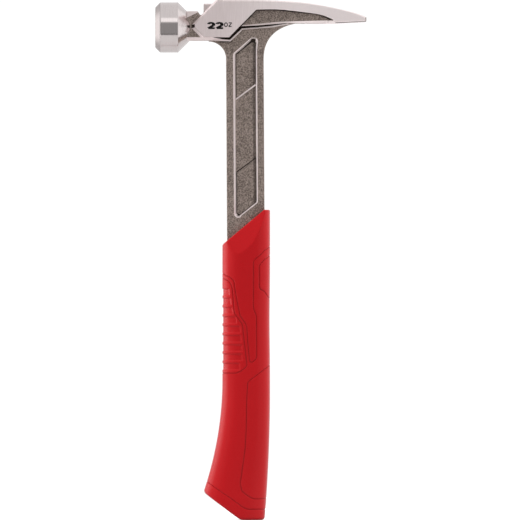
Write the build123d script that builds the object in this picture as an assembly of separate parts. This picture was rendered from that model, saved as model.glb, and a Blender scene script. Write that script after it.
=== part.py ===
"""Straight-claw framing hammer, forged in one piece, with a two-shot moulded grip.

Millimetres, +Z up. The origin is the centre of the striking face, which looks along -X.
The handle runs down -Z, and the hammer is symmetric about the plane Y = 0.
"""

import os
from math import radians, tan

from build123d import *

# Driving dimensions -------------------------------------------------------------------------
OVERALL_HEIGHT = 381.0
TOP_Z = 20.1                    # top of the head above the poll's axis
BUTT_Z = TOP_Z - OVERALL_HEIGHT

# Poll, the round striking end
POLL_R = 18.5
POLL_END_X = 16.7               # where its 45 degree cone starts
FACE_BEVEL = 3.7
FACE_EDGE_R = 1.5

# Neck, with the magnetic nail starter in its top
NECK_HALF_Y = 9.7
NECK_TOP_Z = 11.7
NECK_BOTTOM_Z = -9.7
NECK_TOP_BEVEL = [(23.9, 9.7, 7.3), (29.5, 9.7, 10.0), (23.9, 5.5, 11.7)]
NECK_BOTTOM_BEVEL = 2.2
NECK_FLAT_END_X = 31.0
NOTCH_START_X = 32.8
NOTCH_FLOOR_Z = 9.0
STOP_X = 35.4                   # wall that backs the nail's head
STOP_TOP_Z = 17.2
STOP_HALF_Y = 8.2
NAIL_GROOVE_WIDTH = 5.6
NAIL_GROOVE_FLOOR_Z = 10.9
MAGNET_R = 2.5
MAGNET_HEIGHT = 3.0
MAGNET_X = 27.2

# Cheeks, the ground flats on both sides of the head
CHEEK_HALF_Y = 12.1
CHEEK_TOP_X = 46.6
CHEEK_NOSE = [(29.15, 2.1), (29.2, -0.1)]       # blunt tip of the arrow, on the flat
ARROW_BASE = [(27.9, 3.1), (27.5, -1.7)]        # where its upper and lower flanks meet the neck
NOSE_BASE_X = 26.7
CHEEK_BOTTOM_Z = -7.4
CHEEK_BOTTOM_END_X = 54.1

# Claw
CLAW_TIP_X = 154.5
CLAW_TIP_Z = (4.4, 7.3)
CLAW_CROWN = [(92.0, 19.3), (112.0, 17.5), (132.0, 13.9)]
CLAW_BELLY = [(118.0, 2.6), (136.0, 3.1)]
UNDERCUT = [(62.0, 0.7), (75.0, 1.3), (96.0, 3.0), (107.0, 2.8)]    # lower edge of the claw's side
POCKET_LEFT = [(59.3, -2.0), (73.9, 12.9)]      # in line with the cheek's rear edge
POCKET_TOP = [(92.0, 12.9), (110.0, 10.9), (122.0, 8.9)]
POCKET_TIP = (131.0, 5.3)
POCKET_MOUTH_X = 128.5          # the pocket is open below, from the cheek to here
POCKET_HALF_Y = 9.4
POCKET_DRAFT = 0.9
EDGE_BEVEL_LINE = [(64.3, 0.0), (75.0, 0.9), (91.0, 2.5), (107.0, 3.0), (124.5, 3.4)]
EDGE_BEVEL_ANGLE = 52.0         # of the bevel along the pocket floor's lower edge
EDGE_BEVEL_DEPTH = 1.2
HEAD_EDGE = 1.0                 # chamfer along the crown and the claw's lower edges
SLOT_THROAT_X = 110.0
SLOT_THROAT_WIDTH = 1.8
SLOT_MOUTH_WIDTH = 9.5
SLOT_BEVEL = 0.8
HEAD_RIM_R = 0.4                # small radius round every flat on the sides of the head

# Shank: an I-beam that swells towards the head
SHANK_WIDTH = 27.6
SHANK_TOP_X = 65.6              # its centre just below the head
SHANK_LEAN = 0.32               # degrees towards the claw, going down
FLANGE_HALF_Y = 5.2
SWELL = [(-20.0, 5.3), (-8.0, 6.0), (4.0, 7.9)]     # height and half thickness near the head
FRONT_FILLET_R = 12.7
BACK_FILLET_R = 27.2
SHANK_TOP_Z = -23.0
SHANK_END_Z = -170.0
GROOVE_HALF_Y = 5.9             # floor of the groove that runs under the cheek and the claw
RAIL_TOP = [
    (42.0, -7.6), (50.0, -8.9), (54.7, -9.1), (63.4, -0.8), (75.0, 0.0), (85.0, 1.0), (97.0, 2.9),
]
RAIL_LOW = [
    (99.0, 2.2), (86.0, -0.1), (75.0, -1.0), (63.9, -1.9), (55.1, -10.3), (49.0, -10.1), (42.0, -9.7),
]
RAIL_HALF_Y = 8.4
RAIL_EDGE = 0.25
FLANGE_EDGE_R = 0.7
FLOOR_R = 0.5

# Recess in both sides of the shank, with a raised panel
RECESS_LEFT = (57.0, -19.3, -142.8)     # x, top and bottom of the front edge at the surface
RECESS_RIGHT = (74.9, -5.2, -128.6)
RECESS_RIM = (1.1, 0.9)         # width and depth of the bevel round its rim
GENTLE_DRAFT = 40.0             # of the recess's front wall
STEEP_DRAFT = 26.0              # of its other walls
RECESS_CORNER_R = 3.2
WEB_HALF_Y = 2.9
PANEL_HALF_Y = 3.7
PANEL_TOP = (-52.9, -40.9)      # left and right ends of the panel's slanted upper step
PANEL_LENGTH = 54.6
PANEL_DRAFTS = (52.0, 28.0)     # of the upper and the lower step

# Tang, the shank's hidden end
TANG_WIDTH = 19.0
TANG_HALF_Y = 3.4
TANG_END_Z = -332.0
TANG_WINDOW = (8.0, 30.0)
TANG_WINDOW_ZS = (-212.0, -262.0, -312.0)

# Grip: height, front x, back x and half thickness of each section
GRIP_SECTIONS = [
    (-118.0, 49.0, 84.1, 13.3),
    (-175.0, 49.0, 84.1, 13.5),
    (-215.0, 49.1, 83.7, 13.3),
    (-250.0, 48.7, 84.0, 13.1),
    (-280.0, 47.7, 83.9, 13.4),
    (-304.0, 45.0, 83.3, 14.0),
    (-334.0, 37.6, 82.0, 14.9),
    (-368.0, 27.6, 80.8, 15.6),
]
GRIP_ROUNDNESS = 0.82           # corner radius of a section over its half thickness
SKIN_THICKNESS = 3.2
MOUTH = [(79.7, -133.6), (49.4, -158.9)]        # the slanted mouth's two ends
LIP_HALF_Y = 9.2                # half thickness of the grip at the mouth
FACET_ANGLE = 17.0
BUTT_FRONT = (36.9, -341.8)     # the slanted end of the butt
BUTT_CORNER_X = 62.4
BUTT_EDGE_R = 2.4
RIB_COUNT = 9                   # scallops between the finger ribs
RIB_TOP_Z = -194.0
RIB_PITCH = 6.8
RIB_R = 3.4
RIB_DEPTH = 0.7
RIB_FRONT_X = 49.0
CORE_TOP_Z = -166.0
CORE_END_LIFT = 9.0             # rubber below the core at the butt

FAR = 400.0


def xz_face(points):
    """A face in the plane Y = 0 with straight sides."""
    return make_face(Plane.XZ * Polyline(*points, close=True))


def prism(face, half):
    """The face extruded to both sides of the plane Y = 0."""
    return extrude(face, half, both=True)


def both_sides(tool):
    """The tool and its mirror image in the plane Y = 0."""
    return tool + mirror(tool, Plane.XZ)


def shank_x(z):
    """Centre of the shank at a height."""
    return SHANK_TOP_X - (z - SHANK_TOP_Z) * tan(radians(SHANK_LEAN))


def cut_flank(body, on_flat, on_neck):
    """Slope the arrow's flank from an edge of the cheek's flat down to the neck's side."""
    for side in (-1, 1):
        first = Vector(on_flat[0][0], side * CHEEK_HALF_Y, on_flat[0][1])
        second = Vector(on_flat[1][0], side * CHEEK_HALF_Y, on_flat[1][1])
        third = Vector(on_neck[0], side * NECK_HALF_Y, on_neck[1])
        normal = (second - first).cross(third - first)
        if normal.X > 0:
            normal = -normal
        body = split(body, bisect_by=Plane(first, z_dir=normal), keep=Keep.BOTTOM)
    return body


# Forging ------------------------------------------------------------------------------------
def make_poll():
    """Turned striking end: bevelled face, cylinder and 45 degree cone about the X axis."""
    cone_end = POLL_END_X + POLL_R
    profile = Polyline(
        (0, 0), (0, POLL_R - FACE_BEVEL), (FACE_BEVEL, POLL_R),
        (POLL_END_X, POLL_R), (cone_end - 3, 3), (cone_end - 3, 0), close=True,
    )
    face = make_face(Plane.XZ * profile)
    rims = [v for v in face.vertices() if v.Z > 10 and v.X < FACE_BEVEL + 0.1]
    face = fillet(rims, FACE_EDGE_R)
    shoulder = [v for v in face.vertices() if v.Z > 10 and v.X > FACE_BEVEL + 4]
    face = fillet(shoulder, 0.6)
    return revolve(face, Axis.X)


def make_neck():
    """Bar with bevelled long edges between the poll and the cheeks, and the nail's stop."""
    y = NECK_HALF_Y
    top = NECK_TOP_Z
    low = NECK_BOTTOM_Z
    profile = Polyline(
        (y, low + NECK_BOTTOM_BEVEL), (y, top), (-y, top), (-y, low + NECK_BOTTOM_BEVEL),
        (NECK_BOTTOM_BEVEL - y, low), (y - NECK_BOTTOM_BEVEL, low), close=True,
    )
    section = make_face(Plane.YZ.offset(POLL_END_X) * profile)
    neck = extrude(section, CHEEK_BOTTOM_END_X - 1 - POLL_END_X)
    for side in (-1, 1):
        first, second, third = (Vector(x, side * y, z) for x, y, z in NECK_TOP_BEVEL)
        normal = (second - first).cross(third - first)
        if normal.Z < 0:
            normal = -normal
        neck = split(neck, bisect_by=Plane(first, z_dir=normal), keep=Keep.BOTTOM)
    notch = xz_face([
        (NECK_FLAT_END_X, top + 1), (NECK_FLAT_END_X, top), (NOTCH_START_X, NOTCH_FLOOR_Z),
        (CHEEK_TOP_X - 6, NOTCH_FLOOR_Z), (CHEEK_TOP_X - 6, top + 1),
    ])
    neck -= prism(notch, y + 1)
    stop = xz_face([
        (STOP_X, NOTCH_FLOOR_Z - 2), (STOP_X, STOP_TOP_Z),
        (CHEEK_TOP_X, STOP_TOP_Z), (CHEEK_TOP_X, NOTCH_FLOOR_Z - 2),
    ])
    stop = prism(stop, STOP_HALF_Y)
    stop = chamfer(stop.edges().filter_by(Axis.X).group_by(Axis.Z)[-1], 0.8)
    return neck + stop


def make_head():
    """Cheeks and claw: the side outline at full thickness, with the arrow's flanks sloped."""
    crown = Spline((CHEEK_TOP_X + 24, TOP_Z), *CLAW_CROWN, (CLAW_TIP_X - 1.2, CLAW_TIP_Z[1] + 0.6),
                   tangents=[(1, 0), (1, -0.42)])
    tip = Polyline(crown @ 1, (CLAW_TIP_X, CLAW_TIP_Z[1]), (CLAW_TIP_X, CLAW_TIP_Z[0]),
                   (CLAW_TIP_X - 1, CLAW_TIP_Z[0] - 0.4))
    belly = Spline(tip @ 1, *reversed(CLAW_BELLY), UNDERCUT[-1])
    rest = Polyline(
        *reversed(UNDERCUT), (CHEEK_BOTTOM_END_X, CHEEK_BOTTOM_Z),
        (32.8, CHEEK_BOTTOM_Z), (25.7, 0.5), (44.6, TOP_Z), (CHEEK_TOP_X + 24, TOP_Z),
    )
    outline = make_face(Plane.XZ * Wire([*crown.edges(), *tip.edges(), *belly.edges(),
                                         *rest.edges()]))
    head = prism(outline, CHEEK_HALF_Y)
    rims = [e for e in head.edges() if abs(abs(e.center().Y) - CHEEK_HALF_Y) < 0.01]
    crown = [e for e in rims if e.center().Z > 14 and e.center().X > 50]
    tip = [e for e in rims if e.center().X > 150]
    belly = [e for e in rims if e.center().Z < 4 and 108 < e.center().X < 150]
    head = chamfer(crown + tip + belly, HEAD_EDGE)
    head = cut_flank(head, [(CHEEK_TOP_X, TOP_Z), CHEEK_NOSE[0]], ARROW_BASE[0])
    head = cut_flank(head, CHEEK_NOSE, (NOSE_BASE_X, 1.0))
    head = cut_flank(head, [CHEEK_NOSE[1], (36.3, CHEEK_BOTTOM_Z)], ARROW_BASE[1])
    head = head - make_pockets() - make_edge_bevels() - make_slot()
    flat = [
        e for e in head.edges() if touches_level(e, CHEEK_HALF_Y) and not behind_cheek(e @ 0.5)
    ]
    head = fillet(flat, HEAD_RIM_R)
    mouth = [e for e in head.edges() if abs((e @ 0.5).Y) < SLOT_MOUTH_WIDTH / 2 and runs_back(e)]
    return chamfer(mouth, SLOT_BEVEL)


def touches_level(edge, level):
    """Whether the edge lies at this distance from the plane Y = 0, or beyond it."""
    return min(abs((edge @ where).Y) for where in (0, 0.5, 1)) > level - 0.02


def behind_cheek(point):
    """Whether a point lies on the sharp slanted edge between the cheek and the claw's pocket."""
    return CHEEK_BOTTOM_END_X < point.X < POCKET_LEFT[1][0] - 2 and point.Z < 11


def runs_back(edge):
    """Whether the edge runs along the top of the claw's slot."""
    return (edge @ 0.5).X > SLOT_THROAT_X - 0.1 and min((edge @ 0).Z, (edge @ 1).Z) > 6.5


def pocket_outline(inset, half_y):
    """Outline of the claw's pocket, drawn in from its rim by the inset and open below."""
    (left_x, low_z), (corner_x, corner_z) = POCKET_LEFT
    low = (left_x + 1.4 * inset, low_z)
    high = (corner_x + 0.5 * inset, corner_z - inset)
    tip = (POCKET_TIP[0] - 4 * inset, POCKET_TIP[1])
    crest = [(x, z - inset) for x, z in POCKET_TOP]
    top = Spline(high, *crest, tip, tangents=[(1, 0.03), (1, -0.5)])
    rest = Polyline(tip, (POCKET_MOUTH_X - 4 * inset, low_z), low, high)
    return make_face(Plane.XZ.offset(half_y) * Wire([*top.edges(), *rest.edges()]))


def make_pockets():
    """Drafted pockets in both sides of the claw."""
    rim = pocket_outline(-POCKET_DRAFT / 3, CHEEK_HALF_Y + 0.9)
    floor = pocket_outline(POCKET_DRAFT, POCKET_HALF_Y)
    return both_sides(loft([rim, floor], ruled=True))


def make_edge_bevels():
    """Bevels along the lower edges of the pockets' floors."""
    (start, _), (end, _) = EDGE_BEVEL_LINE[0], EDGE_BEVEL_LINE[-1]
    face = xz_face([*EDGE_BEVEL_LINE, (end, -4.0), (start, -4.0)])
    face = Pos(0, EDGE_BEVEL_DEPTH - POCKET_HALF_Y, 0) * face
    cutter = extrude(face, EDGE_BEVEL_DEPTH + 0.01, dir=(0, -1, 0), taper=-EDGE_BEVEL_ANGLE)
    return both_sides(cutter)


def make_slot():
    """V-shaped nail slot in the claw, seen from above, with bevelled upper edges."""
    throat = SLOT_THROAT_WIDTH / 2
    mouth = SLOT_MOUTH_WIDTH / 2
    end = CLAW_TIP_X + 1
    outline = Polyline(
        (end, -mouth), (SLOT_THROAT_X, -throat), (SLOT_THROAT_X, throat), (end, mouth), close=True,
    )
    face = make_face(outline)
    back = [v for v in face.vertices() if v.X < SLOT_THROAT_X + 1]
    face = fillet(back, throat * 0.98)
    return extrude(Plane.XY.offset(-20) * face, 60)


def make_shank():
    """I-beam blank with its gusset: the side outline, thinned to the flanges' thickness."""
    half = SHANK_WIDTH / 2
    top_z = SHANK_TOP_Z
    front_top = shank_x(top_z) - half
    back_top = shank_x(top_z) + half
    front_end = shank_x(SHANK_END_Z) - half
    back_end = shank_x(SHANK_END_Z) + half
    front = FRONT_FILLET_R
    front_arc = TangentArc((front_top, top_z), (front_top - front, top_z + front), tangent=(0, 1))
    back_arc = Spline((back_top, top_z), (87.5, -3.8), (106.0, 3.4), tangents=[(0, 1), (1, 0.12)])
    rest = Polyline(
        (106.0, 3.4), (106.0, 8.0), (60.0, 8.0), (front_top - front, 0.0),
        (front_top - front, top_z + front),
    )
    legs = Polyline((front_top, top_z), (front_end, SHANK_END_Z), (back_end, SHANK_END_Z),
                    (back_top, top_z))
    outline = make_face(Plane.XZ * Wire([*front_arc.edges(), *back_arc.edges(),
                                         *rest.edges(), *legs.edges()]))
    blank = prism(outline, CHEEK_HALF_Y)
    swell = Spline((FLANGE_HALF_Y, SHANK_TOP_Z - 8), *[(y, z) for z, y in SWELL], (10.2, 12.0),
                   tangents=[(0, 1), (0.1, 1)])
    side = Polyline((10.2, 12.0), (0, 12.0), (0, SHANK_END_Z), (FLANGE_HALF_Y, SHANK_END_Z),
                    (FLANGE_HALF_Y, SHANK_TOP_Z - 8))
    half_front = make_face(Plane.YZ * Wire([*swell.edges(), *side.edges()]))
    envelope = extrude(half_front, 200)
    envelope += mirror(envelope, Plane.XZ)
    shank = blank & envelope
    corners = []
    for edge in shank.edges():
        middle = edge @ 0.5
        on_side = abs(middle.Y) > FLANGE_HALF_Y - 0.1 and middle.Z < 2 and middle.Z > SHANK_END_Z
        if on_side and abs(middle.X - shank_x(middle.Z)) > SHANK_WIDTH / 2 - 0.5:
            corners.append(edge)
    return fillet(corners, FLANGE_EDGE_R)


def make_groove():
    """Groove that runs under the cheek and the claw, down to the rail along its lower side."""
    start, end = RAIL_TOP[0], RAIL_TOP[-1]
    face = xz_face([*RAIL_TOP, (end[0] + 8, 12.5), (start[0] + 3, 12.5), (start[0] + 3, -7.4)])
    face = Pos(0, -GROOVE_HALF_Y, 0) * face
    return both_sides(extrude(face, 10, dir=(0, -1, 0)))


def make_rail():
    """Narrow flat rail that carries the neck's lower edge on round the top of the gusset."""
    rail = prism(xz_face([*RAIL_TOP, *RAIL_LOW]), RAIL_HALF_Y)
    rims = [e for e in rail.edges() if touches_level(e, RAIL_HALF_Y)]
    return chamfer(rims, RAIL_EDGE)


def recess_outline(half_y, front, rest):
    """Rounded four-sided outline of the recess, its walls drawn in by these amounts."""
    left_x, left_top, left_low = RECESS_LEFT
    right_x, right_top, right_low = RECESS_RIGHT
    slant = (right_top - left_top) / (right_x - left_x)
    lean = tan(radians(SHANK_LEAN)) * (left_top - left_low)
    up = rest * (1 + slant**2) ** 0.5
    corners = [
        (left_x + front, left_top + slant * front - up),
        (left_x + front + lean, left_low + slant * front + up),
        (right_x - rest + lean, right_low - slant * rest + up),
        (right_x - rest, right_top - slant * rest - up),
    ]
    face = xz_face(corners)
    radius = RECESS_CORNER_R - 0.8 * rest
    return Pos(0, -half_y, 0) * fillet(face.vertices(), radius)


def make_recesses():
    """Recesses in both sides of the shank, bevelled at the rim, each with a panel on the web."""
    width, depth = RECESS_RIM
    well = FLANGE_HALF_Y - depth - WEB_HALF_Y
    front = width + well * tan(radians(GENTLE_DRAFT))
    rest = width + well * tan(radians(STEEP_DRAFT))
    mouth = recess_outline(FLANGE_HALF_Y + depth, -width, -width)
    pocket = loft([
        mouth,
        recess_outline(FLANGE_HALF_Y - depth, width, width),
        recess_outline(WEB_HALF_Y, front, rest),
    ], ruled=True)
    pocket += extrude(mouth, 3, dir=(0, -1, 0))
    panel = loft([panel_outline(WEB_HALF_Y - 0.8), panel_outline(PANEL_HALF_Y)], ruled=True)
    return both_sides(pocket - panel)


def panel_outline(half_y):
    """Outline of the raised panel at one half thickness; its steps slope unequally."""
    rise = half_y - WEB_HALF_Y
    upper = 1.3 * rise * tan(radians(PANEL_DRAFTS[0]))
    lower = 1.3 * rise * tan(radians(PANEL_DRAFTS[1]))
    top_left, top_right = PANEL_TOP
    low_left = top_left - PANEL_LENGTH + lower
    low_right = top_right - PANEL_LENGTH + lower
    face = xz_face([
        (50.0, top_left - 5.9 - upper), (82.0, top_right + 5.9 - upper),
        (82.0, low_right + 5.9), (50.0, low_left - 5.9),
    ])
    return Pos(0, -half_y, 0) * face


def round_recesses(shank):
    """Round the edges of the recesses' floors."""
    floors = [
        e for e in shank.edges()
        if in_recess(e) and max(abs((e @ where).Y) for where in (0, 0.5, 1)) < PANEL_HALF_Y + 0.02
    ]
    return fillet(floors, FLOOR_R)


def in_recess(edge):
    """Whether the middle of the edge lies inside the shank's flanges."""
    middle = edge @ 0.5
    inside = abs(middle.X - shank_x(middle.Z)) < SHANK_WIDTH / 2 - 2.3
    return inside and -146 < middle.Z < -4 and abs(middle.Y) > 1


def make_tang():
    """Narrow end of the forging that the grip is moulded around, with windows to key it."""
    centre = shank_x(SHANK_END_Z)
    half = TANG_WIDTH / 2
    end_x = centre - 3
    outline = xz_face([
        (centre - half, SHANK_END_Z + 2), (centre - half, SHANK_END_Z - 110),
        (end_x - half + 2, TANG_END_Z), (end_x + half, TANG_END_Z), (centre + half, SHANK_END_Z + 2),
    ])
    tang = prism(outline, TANG_HALF_Y)
    tang = chamfer(tang.edges().filter_by(Axis.Y).group_by(Axis.Z)[0], 3)
    for z in TANG_WINDOW_ZS:
        window = Plane.XZ * Pos(centre - 1, z) * SlotOverall(TANG_WINDOW[1], TANG_WINDOW[0], 90)
        tang -= prism(window, TANG_HALF_Y + 1)
    return tang


def make_forging():
    """The whole steel forging, from striking face to tang."""
    shank = round_recesses(make_shank() - make_recesses())
    groove = make_groove()
    body = make_head() + (make_neck() - groove) + (shank - groove) + make_rail()
    body = make_poll() + body + make_tang()
    cradle = Box(90, NAIL_GROOVE_WIDTH, 30, align=(Align.MIN, Align.CENTER, Align.MIN))
    cradle = fillet(cradle.edges().filter_by(Axis.X).group_by(Axis.Z)[0], 2.4)
    cradle &= Box(NOTCH_START_X + 2, 20, 30, align=(Align.MIN, Align.CENTER, Align.MIN))
    body -= Pos(0, 0, NAIL_GROOVE_FLOOR_Z) * cradle
    body -= make_magnet(1.0)
    return body


def make_magnet(extra=0.0):
    """Disc magnet pressed into the floor of the nail groove."""
    disc = Cylinder(MAGNET_R, MAGNET_HEIGHT + extra, align=(Align.CENTER, Align.CENTER, Align.MIN))
    return Pos(MAGNET_X, 0, NAIL_GROOVE_FLOOR_Z - MAGNET_HEIGHT) * disc


# Grip ---------------------------------------------------------------------------------------
def grip_loft(inset):
    """Lofted barrel of the grip, shrunk all round by the inset."""
    sections = []
    for z, front, back, half_y in GRIP_SECTIONS:
        length = back - front - 2 * inset
        width = 2 * (half_y - inset)
        radius = width / 2 * GRIP_ROUNDNESS
        place = Plane.XY.offset(z) * Pos((front + back) / 2, 0)
        sections.append(place * RectangleRounded(length, width, radius))
    return loft(sections)


def cut_below(body, first, second):
    """Keep what lies below the line through two points of the XZ plane, right to left."""
    origin = Vector(first[0], 0, first[1])
    run = Vector(second[0], 0, second[1]) - origin
    up = Vector(0, 1, 0).cross(run)
    if up.Z < 0:
        up = -up
    return split(body, bisect_by=Plane(origin, z_dir=up), keep=Keep.BOTTOM)


def make_grip():
    """Outside of the grip: barrel, slanted mouth with its side facets, and slanted butt."""
    body = grip_loft(0.0)
    body = cut_below(body, MOUTH[0], MOUTH[1])
    back, front = MOUTH
    run = (Vector(front[0], 0, front[1]) - Vector(back[0], 0, back[1])).normalized()
    away = Vector(0, 1, 0).cross(run)
    if away.Z > 0:
        away = -away
    for side in (-1, 1):
        outward = Vector(0, side, 0)
        slope = away + outward * tan(radians(FACET_ANGLE))
        normal = run.cross(slope)
        if normal.dot(outward) < 0:
            normal = -normal
        origin = Vector(back[0], side * LIP_HALF_Y, back[1])
        body = split(body, bisect_by=Plane(origin, z_dir=normal), keep=Keep.BOTTOM)
    body = cut_below(body, (MOUTH[0][0] + 5, MOUTH[0][1]), MOUTH[0])
    return body - below_butt(0.0)


def below_butt(lift):
    """Everything below the slanted and flat ends of the butt, raised by the lift."""
    corner = (BUTT_CORNER_X, BUTT_Z + lift)
    slope = (BUTT_FRONT[1] - BUTT_Z) / (BUTT_FRONT[0] - BUTT_CORNER_X)
    below = xz_face([
        (0.0, corner[1] - slope * corner[0]), corner, (100.0, corner[1]),
        (100.0, BUTT_Z - 60), (0.0, BUTT_Z - 60),
    ])
    return prism(below, 40)


def make_ribs():
    """Scallops across the front of the grip that leave finger ribs between them."""
    cutters = []
    for index in range(RIB_COUNT):
        place = Pos(RIB_FRONT_X - RIB_R + RIB_DEPTH, 0, RIB_TOP_Z - index * RIB_PITCH)
        cutters.append(place * Rot(X=90) * Cylinder(RIB_R, 60))
    return Compound(cutters)


def round_butt(grip):
    """Round the rim of the butt's two flat faces."""
    rim = [e for e in grip.edges() if (e @ 0.5).Z < BUTT_Z + 30 and is_on_butt(e)]
    return fillet(rim, BUTT_EDGE_R)


def is_on_butt(edge):
    """Whether an edge lies on the flat or the slanted end of the butt."""
    slope = (BUTT_FRONT[1] - BUTT_Z) / (BUTT_FRONT[0] - BUTT_CORNER_X)
    for where in (0.1, 0.5, 0.9):
        point = edge @ where
        slanted_z = BUTT_Z + slope * (point.X - BUTT_CORNER_X)
        if abs(point.Z - BUTT_Z) > 0.05 and abs(point.Z - slanted_z) > 0.05:
            return False
    return True


# Parts --------------------------------------------------------------------------------------
forging = make_forging()
magnet = make_magnet()
inner = grip_loft(SKIN_THICKNESS)
inner -= Pos(60, 0, CORE_TOP_Z) * Box(200, 200, 200, align=(Align.CENTER, Align.CENTER, Align.MIN))
inner -= below_butt(CORE_END_LIFT)
core = inner - forging
skin = round_butt(make_grip()) - make_ribs() - inner - forging

os.makedirs("parts", exist_ok=True)
export_step(forging, "parts/steel_forging.step")
export_step(magnet, "parts/nail_starter_magnet.step")
export_step(core, "parts/grip_core.step")
export_step(skin, "parts/grip_skin.step")
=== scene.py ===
"""Looks of a one-piece straight-claw framing hammer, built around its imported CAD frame.

Metres. The origin is the centre of the striking face, which looks along -X; the claw points to +X
and the handle hangs down -Z. Numbers inside the sections are millimetres unless they say otherwise.
"""

import bmesh
import bpy
import numpy as np
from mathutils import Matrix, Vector


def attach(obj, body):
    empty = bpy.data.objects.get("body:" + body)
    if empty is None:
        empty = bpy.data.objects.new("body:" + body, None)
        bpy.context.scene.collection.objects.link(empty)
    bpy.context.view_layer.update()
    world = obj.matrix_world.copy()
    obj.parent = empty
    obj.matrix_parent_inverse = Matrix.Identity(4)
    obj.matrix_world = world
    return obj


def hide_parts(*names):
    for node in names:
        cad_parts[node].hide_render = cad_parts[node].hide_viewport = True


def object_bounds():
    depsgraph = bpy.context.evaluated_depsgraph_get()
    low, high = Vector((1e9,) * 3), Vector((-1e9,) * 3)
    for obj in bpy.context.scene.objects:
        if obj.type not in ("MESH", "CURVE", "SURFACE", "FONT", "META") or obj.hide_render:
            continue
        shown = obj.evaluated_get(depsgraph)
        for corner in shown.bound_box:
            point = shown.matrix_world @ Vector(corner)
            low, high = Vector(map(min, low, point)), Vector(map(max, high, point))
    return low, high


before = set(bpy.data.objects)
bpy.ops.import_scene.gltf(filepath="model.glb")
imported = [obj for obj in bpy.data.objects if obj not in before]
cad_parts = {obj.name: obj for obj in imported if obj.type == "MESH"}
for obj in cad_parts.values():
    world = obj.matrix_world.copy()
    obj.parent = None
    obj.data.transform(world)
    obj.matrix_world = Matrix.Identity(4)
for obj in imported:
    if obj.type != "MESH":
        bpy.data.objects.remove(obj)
cad_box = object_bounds()
MM = 0.001

# --- Steel forging ---------------------------------------------------------------------------
# Poll, neck, cheeks, claw, I-beam shank and tang, drop forged in one piece and shot blasted.
# The poll is turned, and the cheeks, the claw and the neck's top and underside are ground bright.
FORGED_DARK = (0.165, 0.132, 0.114, 1)
FORGED_LIGHT = (0.50, 0.41, 0.364, 1)
SCALE_AND_PAINTED_SHADE = (0.05, 0.038, 0.033, 1)      # mill scale with painted shade in the grooves, painted shade on steep walls and under the rail
GROUND_DARK = (0.83, 0.73, 0.725, 1)
GROUND_LIGHT = (0.99, 0.905, 0.90, 1)
TURNED_DARK = (0.56, 0.505, 0.50, 1)
TURNED_LIGHT = (0.70, 0.64, 0.635, 1)
FACE_BEVEL_SHADED = (0.40, 0.36, 0.355, 1)
GROUND_ROUGHNESS = 0.58
TURNED_ROUGHNESS = 0.10
BEVEL_ROUGHNESS = 0.42
FORGED_ROUGHNESS = 0.50
PIT_DEPTH = 0.00042             # metres
GRAIN_DEPTH = 0.000035          # metres
SHANK_MIDDLE_X = 65.9
SHANK_LEAN = 0.0056             # towards the claw for each millimetre down
SHANK_SWELL = 0.95              # taken off the level of a wall from z = -20 up to -5
NECK_TOP_SHARE = 0.75           # how bright each of these faces is ground, of 1
STOP_SHARE = 0.85
# the recess walls' lower band is ground, with painted highlight
LOWER_WALL_SHARE = 0.45
WORN_RAIL_LOSS = 0.35           # how much less along the middle of the rail
ARRIS_SHADE = 0.5                # and, as painted shade, along the chamfers of the cheeks
RECESS_FLOOR_SHADE = 0.55       # how dark each of these places is, of 1
UNDER_RAIL_SHADE = 0.7


def new_material(name):
    """An empty node material with its Principled shader: (material, node tree, shader)."""
    material = bpy.data.materials.new(name)
    material.use_nodes = True
    return material, material.node_tree, material.node_tree.nodes["Principled BSDF"]


def put(tree, kind, values=None, **settings):
    """A node of this kind, with its settings and the values or links of its inputs."""
    node = tree.nodes.new(kind)
    for name, value in settings.items():
        setattr(node, name, value)
    for name, value in (values or {}).items():
        if isinstance(value, bpy.types.NodeSocket):
            tree.links.new(value, node.inputs[name])
        else:
            node.inputs[name].default_value = value
    return node


def calc(tree, operation, *values):
    """The result of a Math node on sockets or numbers."""
    return put(tree, "ShaderNodeMath", dict(enumerate(values)), operation=operation).outputs[0]


def times_plus(tree, value, factor, extra):
    """value * factor + extra."""
    return calc(tree, "MULTIPLY_ADD", value, factor, extra)


def ramp(tree, value, low, high):
    """0 where the value is below low, 1 where it is above high, smooth between; low may exceed high."""
    inputs = {"Value": value, "From Min": low, "From Max": high}
    node = put(tree, "ShaderNodeMapRange", inputs, interpolation_type="SMOOTHSTEP")
    return node.outputs["Result"]


def within(tree, *steps):
    """The smallest of some smooth steps, each given as (value, where it is 0, where it is 1)."""
    result = ramp(tree, *steps[0])
    for step in steps[1:]:
        result = calc(tree, "MINIMUM", result, ramp(tree, *step))
    return result


def both(tree, first, second):
    """The smaller of two masks."""
    return calc(tree, "MINIMUM", first, second)


def any_of(tree, *masks):
    """The largest of the masks."""
    result = masks[0]
    for mask in masks[1:]:
        result = calc(tree, "MAXIMUM", result, mask)
    return result


def weaken(tree, mask, part):
    """The mask weakened to a part of its strength."""
    return calc(tree, "MULTIPLY", mask, part)


def blend_color(tree, factor, first, second):
    """The first colour where the factor is 0 and the second where it is 1."""
    node = put(tree, "ShaderNodeMix", None, data_type="RGBA")
    for name, value in (("Factor", factor), ("A", first), ("B", second)):
        socket = next(s for s in node.inputs if s.name == name and s.enabled)
        if isinstance(value, bpy.types.NodeSocket):
            tree.links.new(value, socket)
        else:
            socket.default_value = value
    return next(s for s in node.outputs if s.enabled)


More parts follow.
